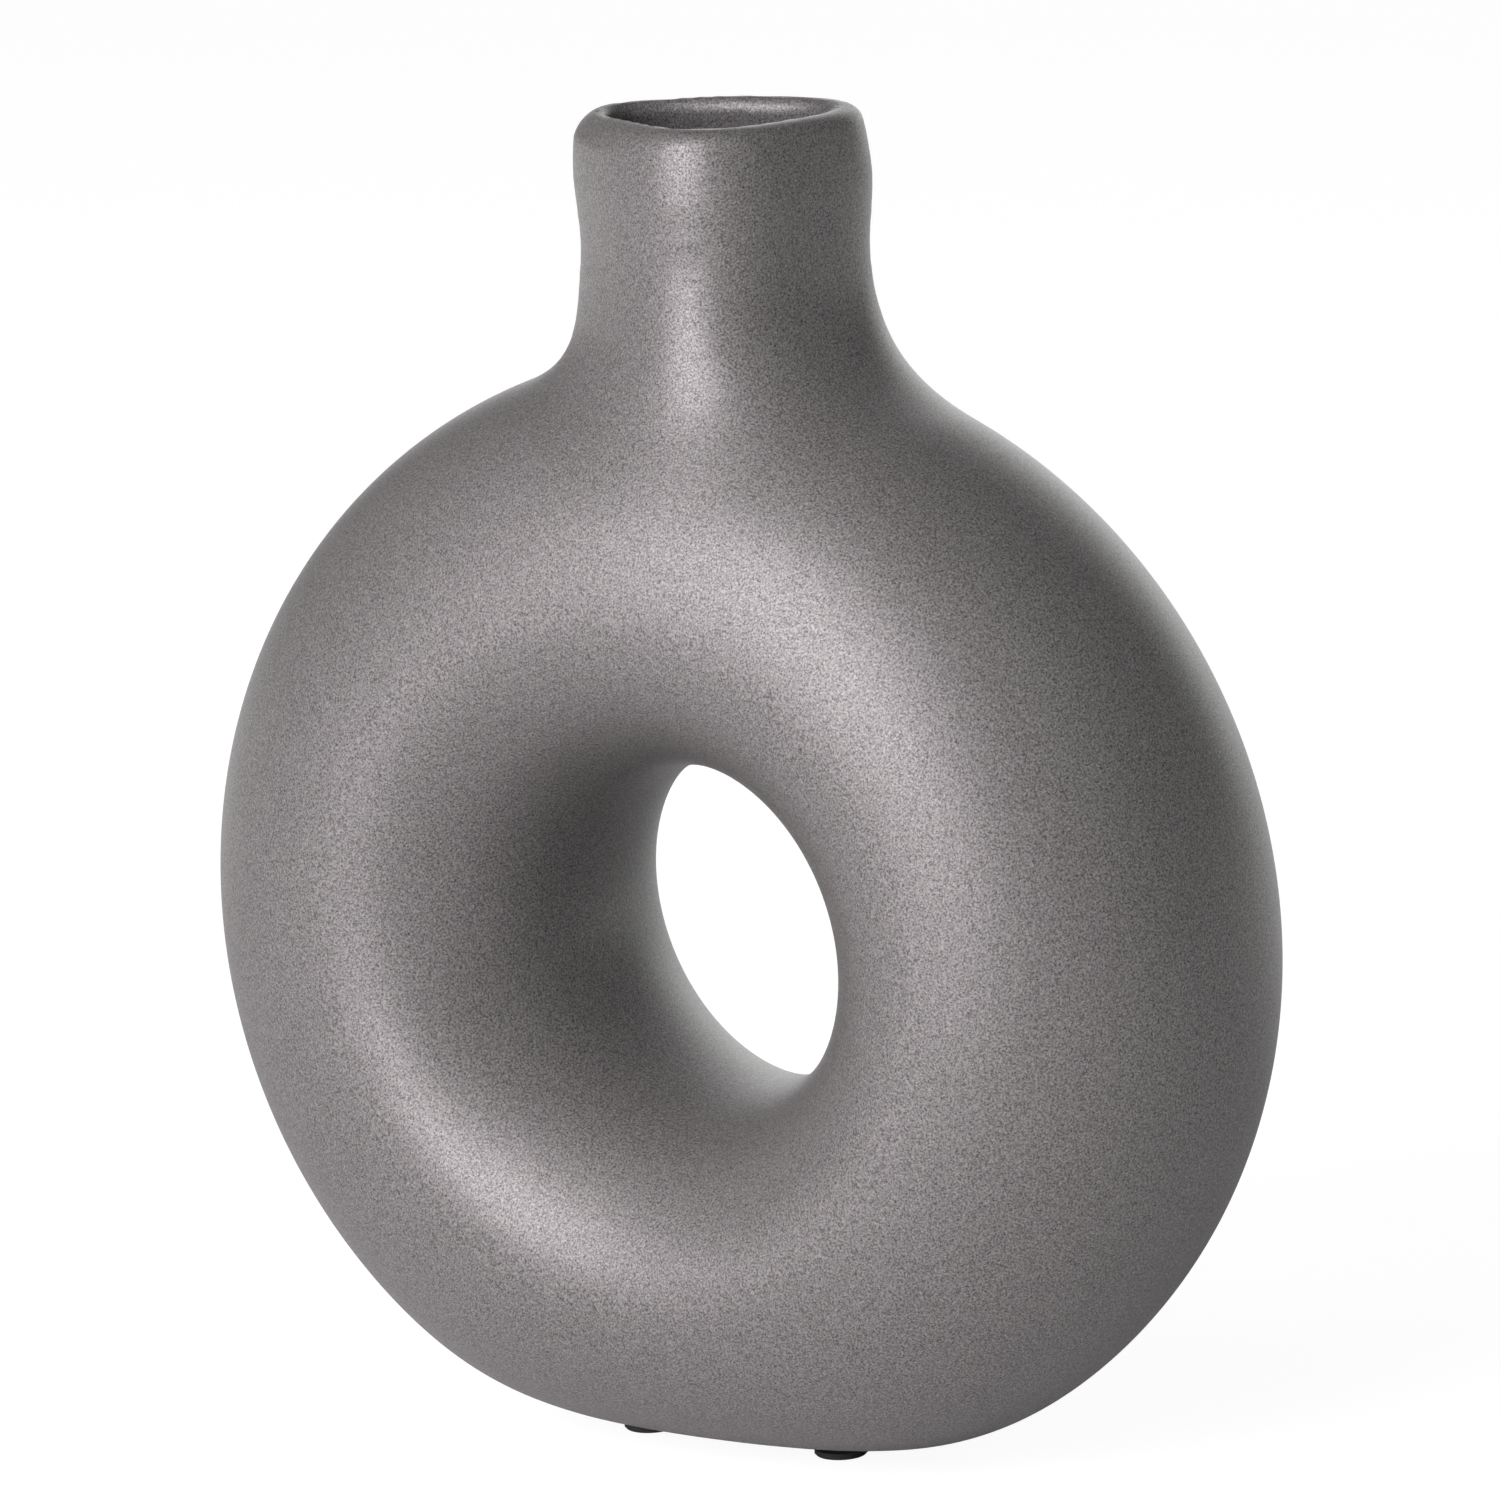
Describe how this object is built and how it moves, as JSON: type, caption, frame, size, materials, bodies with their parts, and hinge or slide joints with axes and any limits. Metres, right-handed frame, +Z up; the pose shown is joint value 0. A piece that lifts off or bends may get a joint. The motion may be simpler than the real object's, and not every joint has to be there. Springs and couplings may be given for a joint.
{
  "type": "donut vase",
  "caption": "Upright hollow ring vase with a round centre hole, a short flared neck with a rounded three-cornered mouth, and a small flat foot on rubber pads.",
  "frame": {"origin": "on the resting plane under the middle of the ring, at the pads' undersides", "axes": "+X along the ring's width towards the neck's rounded side, -X towards the point of the mouth; -Y out of the front face, +Y out of the back along the axis of the centre hole; +Z up to the mouth"},
  "size_m": [0.1748, 0.07, 0.2],
  "materials": {
    "satin_grey_glaze": "satin warm grey glaze with a fine metallic speckle",
    "pad_rubber": "matte"
  },
  "bodies": {
    "root": {"vase_body": "satin_grey_glaze", "foot_pad_front_left": "pad_rubber", "foot_pad_back_left": "pad_rubber", "foot_pad_front_right": "pad_rubber", "foot_pad_back_right": "pad_rubber"}
  },
  "joints": []
}
